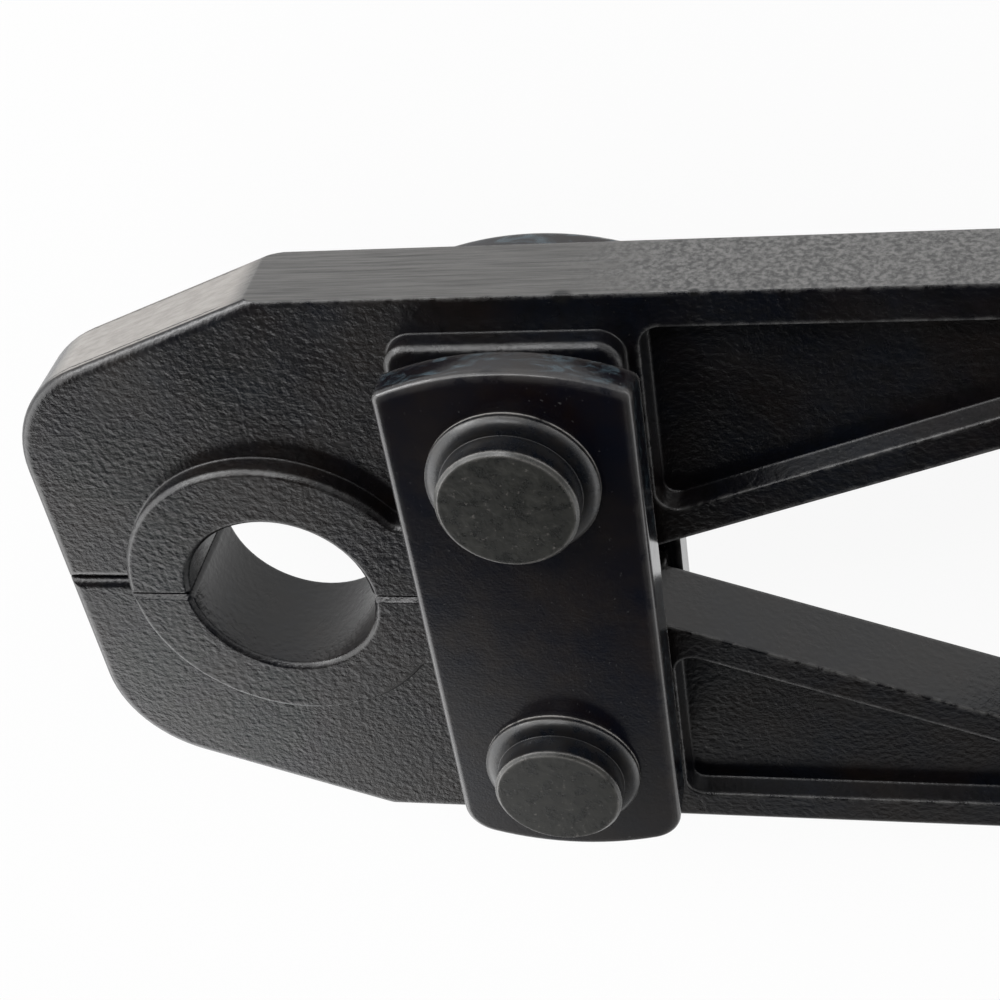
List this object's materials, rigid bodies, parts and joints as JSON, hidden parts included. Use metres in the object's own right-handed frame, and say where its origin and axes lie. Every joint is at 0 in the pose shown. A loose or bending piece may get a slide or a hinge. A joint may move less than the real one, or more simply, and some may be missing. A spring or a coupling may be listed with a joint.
{
  "type": "pex crimp ring tool",
  "caption": "Long-handled compound crimping tool whose two pinned die jaws squeeze a copper ring round a plastic pipe.",
  "frame": {"origin": "centre of the closed die, midway through the thickness of the jaws", "axes": "+X from the die towards the handles, +Y towards the upper jaw, +Z out of the front link plate, along the pipe's axis"},
  "size_m": [0.4306, 0.1064, 0.031],
  "materials": {
    "forged_black": "oil-blackened forging, satin with a fine pebbled skin",
    "plate_black": "smooth blackened plate, satin",
    "pin_black": "blackened steel, matt end faces with bright worn rims",
    "spring_steel": "dark oiled spring steel",
    "bolt_steel": "black oxide, satin",
    "washer_steel": "zinc plated",
    "tube_black": "black powder coat, slight orange peel",
    "grip_rubber": "matt moulded rubber"
  },
  "bodies": {
    "head": {"front_link_plate": "plate_black", "back_link_plate": "plate_black", "upper_jaw_pin": "pin_black", "lower_jaw_pin": "pin_black", "upper_pin_ring": "spring_steel", "lower_pin_ring": "spring_steel"},
    "upper_jaw": {"upper_jaw": "forged_black"},
    "lower_jaw": {"lower_jaw": "forged_black"},
    "upper_handle": {"upper_yoke": "forged_black", "upper_tail_bolt": "bolt_steel", "upper_tail_nut": "bolt_steel", "stop_screw": "bolt_steel", "stop_lock_nut": "bolt_steel", "upper_tube": "tube_black", "upper_tube_pin": "spring_steel", "upper_grip": "grip_rubber"},
    "lower_handle": {"lower_yoke": "forged_black", "lower_tail_bolt": "bolt_steel", "lower_tail_nut": "bolt_steel", "centre_bolt": "bolt_steel", "centre_nut": "bolt_steel", "centre_washers": "washer_steel", "lower_tube": "tube_black", "lower_tube_pin": "spring_steel", "lower_grip": "grip_rubber"}
  },
  "joints": [
    {"name": "upper_jaw_pivot", "type": "hinge", "parent": "head", "child": "upper_jaw", "pos_m": [0.0255, 0.0175, 0], "axis": [0, 0, 1], "range_deg": [-12, 0]},
    {"name": "lower_jaw_pivot", "type": "hinge", "parent": "head", "child": "lower_jaw", "pos_m": [0.0255, -0.0175, 0], "axis": [0, 0, 1], "range_deg": [0, 12]},
    {"name": "upper_handle_pivot", "type": "hinge", "parent": "upper_jaw", "child": "upper_handle", "pos_m": [0.079, 0.0224, 0], "axis": [0, 0, 1], "range_deg": [0, 58.25]},
    {"name": "lower_handle_pivot", "type": "hinge", "parent": "lower_jaw", "child": "lower_handle", "pos_m": [0.079, -0.0224, 0], "axis": [0, 0, 1], "range_deg": [-58.25, 0]}
  ],
  "couplings": [
    {"joint": "upper_jaw_pivot", "follows": "upper_handle_pivot", "ratio": -0.206},
    {"joint": "lower_jaw_pivot", "follows": "upper_handle_pivot", "ratio": 0.206},
    {"joint": "lower_handle_pivot", "follows": "upper_handle_pivot", "ratio": -1}
  ]
}
